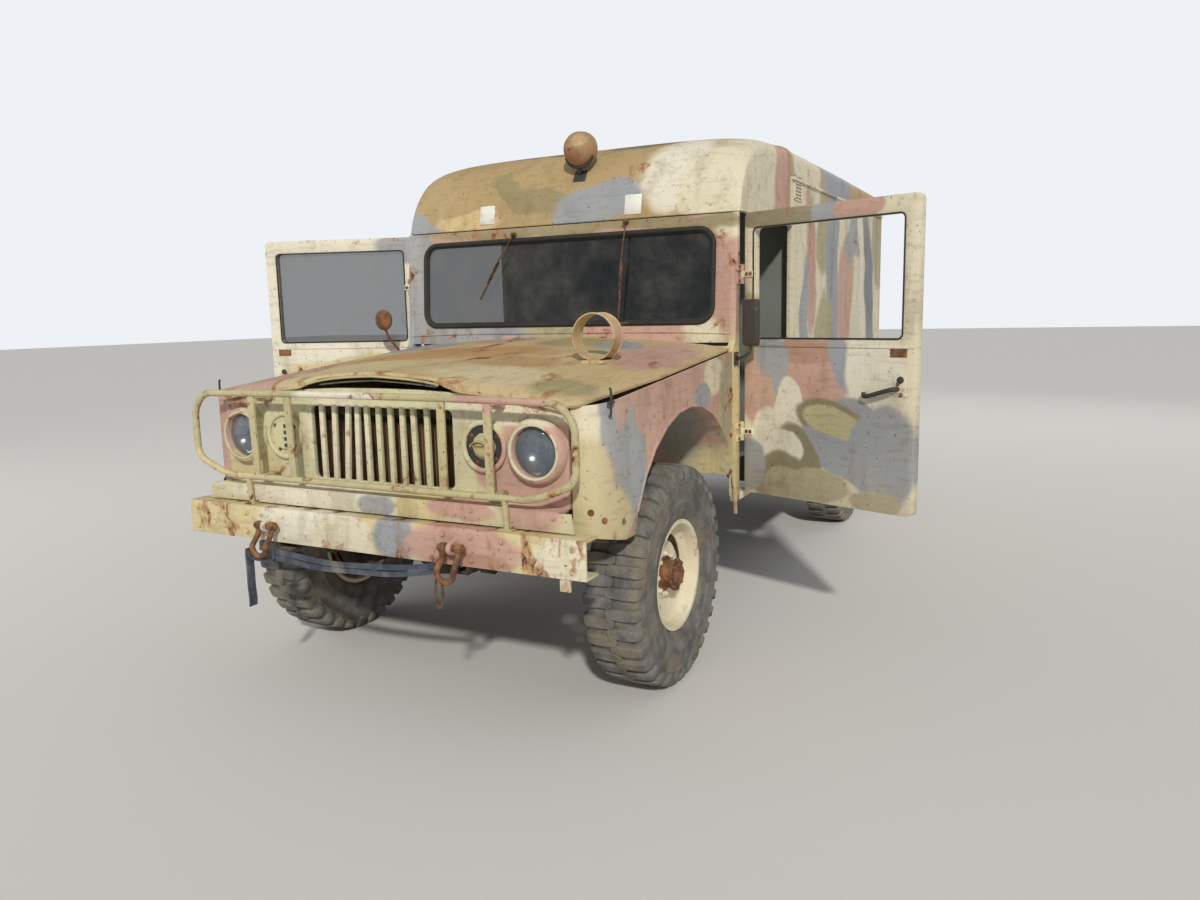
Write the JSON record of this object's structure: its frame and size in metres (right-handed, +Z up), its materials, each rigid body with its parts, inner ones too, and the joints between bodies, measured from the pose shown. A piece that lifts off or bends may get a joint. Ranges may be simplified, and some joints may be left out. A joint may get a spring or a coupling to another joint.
{
  "type": "military ambulance truck",
  "caption": "Military ambulance truck in desert camouflage: closed body, open cab doors, hinged hood and rear doors, steered front wheels and a bar guard over the grille.",
  "frame": {"origin": "on the ground, under the middle of the whole truck", "axes": "+X to the truck's left, -Y toward the front bumper, +Z up"},
  "size_m": [3.594, 5.3299, 2.423],
  "materials": {
    "cream_paint": "dull chalky paint",
    "rose_paint": "dull chalky paint",
    "khaki_paint": "dull chalky paint",
    "grey_blue_paint": "dull chalky paint",
    "rusty_steel": "rusted",
    "dark_steel": "dirty dark steel",
    "tyre_rubber": "dusty",
    "window_glass": "smooth",
    "seat_canvas": "worn canvas",
    "navy_webbing": "woven"
  },
  "bodies": {
    "chassis": {"bench_left": "grey_blue_paint", "bench_right": "grey_blue_paint", "body_floor": "grey_blue_paint", "body_side_left": "cream_paint", "body_side_right": "cream_paint", "brush_guard": "khaki_paint", "cab_front": "rose_paint", "chassis_frame": "dark_steel", "dashboard": "grey_blue_paint", "driver_seat": "seat_canvas", "engine_block": "dark_steel", "exhaust": "rusty_steel", "fender_left": "rose_paint", "fender_right": "rose_paint", "front_axle": "dark_steel", "front_bumper": "cream_paint", "front_panel": "khaki_paint", "fuel_tank": "dark_steel", "gearbox_and_drive_shafts": "dark_steel", "headlamp_left": "window_glass", "headlamp_right": "window_glass", "mirror_left": "dark_steel", "mirror_right": "rusty_steel", "partition": "grey_blue_paint", "passenger_seat": "seat_canvas", "radiator": "dark_steel", "rear_axle": "dark_steel", "rear_frame": "cream_paint", "rear_step": "dark_steel", "roof": "cream_paint", "spot_lamp": "rusty_steel", "tow_shackle_left": "rusty_steel", "tow_shackle_right": "rusty_steel", "tow_strap": "navy_webbing", "windscreen_glass": "window_glass"},
    "hood": {"hood": "cream_paint"},
    "cab_door_left": {"cab_door_left": "cream_paint"},
    "cab_door_right": {"cab_door_right": "cream_paint", "cab_door_right_glass": "window_glass"},
    "rear_door_left": {"rear_door_left": "cream_paint", "rear_door_left_glass": "window_glass"},
    "rear_door_right": {"rear_door_right": "cream_paint", "rear_door_right_glass": "window_glass"},
    "knuckle_left": {"knuckle_left": "dark_steel"},
    "knuckle_right": {"knuckle_right": "dark_steel"},
    "tie_rod": {"tie_rod": "dark_steel"},
    "wheel_front_left": {"tyre_front_left": "tyre_rubber", "rim_front_left": "cream_paint"},
    "wheel_front_right": {"tyre_front_right": "tyre_rubber", "rim_front_right": "cream_paint"},
    "wheel_rear_left": {"tyre_rear_left": "tyre_rubber", "rim_rear_left": "cream_paint"},
    "wheel_rear_right": {"tyre_rear_right": "tyre_rubber", "rim_rear_right": "cream_paint"},
    "steering_wheel": {"steering_wheel": "dark_steel"}
  },
  "joints": [
    {"name": "steer_left", "type": "hinge", "parent": "chassis", "child": "knuckle_left", "pos_m": [0.7, -1.781, 0.455], "axis": [0, 0, 1], "range_deg": [-28, 28]},
    {"name": "steer_right", "type": "hinge", "parent": "chassis", "child": "knuckle_right", "pos_m": [-0.7, -1.781, 0.455], "axis": [0, 0, 1], "range_deg": [-28, 28]},
    {"name": "tie_rod_pivot", "type": "hinge", "parent": "knuckle_left", "child": "tie_rod", "pos_m": [0.7, -1.601, 0.386], "axis": [0, 0, 1], "range_deg": [-28, 28]},
    {"name": "steering_wheel_turn", "type": "hinge", "parent": "chassis", "child": "steering_wheel", "pos_m": [0.42, -0.675, 1.36], "axis": [0, 0.7842, 0.6205], "range_deg": [-450, 450]},
    {"name": "wheel_front_left_spin", "type": "hinge", "parent": "knuckle_left", "child": "wheel_front_left", "pos_m": [0.851, -1.781, 0.455], "axis": [1, 0, 0], "continuous": true},
    {"name": "wheel_front_right_spin", "type": "hinge", "parent": "knuckle_right", "child": "wheel_front_right", "pos_m": [-0.851, -1.781, 0.455], "axis": [1, 0, 0], "continuous": true},
    {"name": "wheel_rear_left_spin", "type": "hinge", "parent": "chassis", "child": "wheel_rear_left", "pos_m": [0.851, 1.419, 0.455], "axis": [1, 0, 0], "continuous": true},
    {"name": "wheel_rear_right_spin", "type": "hinge", "parent": "chassis", "child": "wheel_rear_right", "pos_m": [-0.851, 1.419, 0.455], "axis": [1, 0, 0], "continuous": true},
    {"name": "hood_hinge", "type": "hinge", "parent": "chassis", "child": "hood", "pos_m": [0, -1.1275, 1.41], "axis": [-1, 0, 0], "range_deg": [0, 55]},
    {"name": "cab_door_left_hinge", "type": "hinge", "parent": "chassis", "child": "cab_door_left", "pos_m": [0.957, -1, 0.953], "axis": [0, 0, 1], "range_deg": [0, 110]},
    {"name": "cab_door_right_hinge", "type": "hinge", "parent": "chassis", "child": "cab_door_right", "pos_m": [-0.957, -1, 0.953], "axis": [0, 0, -1], "range_deg": [0, 110]},
    {"name": "rear_door_left_hinge", "type": "hinge", "parent": "chassis", "child": "rear_door_left", "pos_m": [0.604, 2.485, 1.47], "axis": [0, 0, -1], "range_deg": [0, 150]},
    {"name": "rear_door_right_hinge", "type": "hinge", "parent": "chassis", "child": "rear_door_right", "pos_m": [-0.604, 2.485, 1.47], "axis": [0, 0, 1], "range_deg": [0, 150]}
  ],
  "couplings": [
    {"joint": "steer_right", "follows": "steer_left", "ratio": 1},
    {"joint": "tie_rod_pivot", "follows": "steer_left", "ratio": -1},
    {"joint": "steering_wheel_turn", "follows": "steer_left", "ratio": 16}
  ]
}
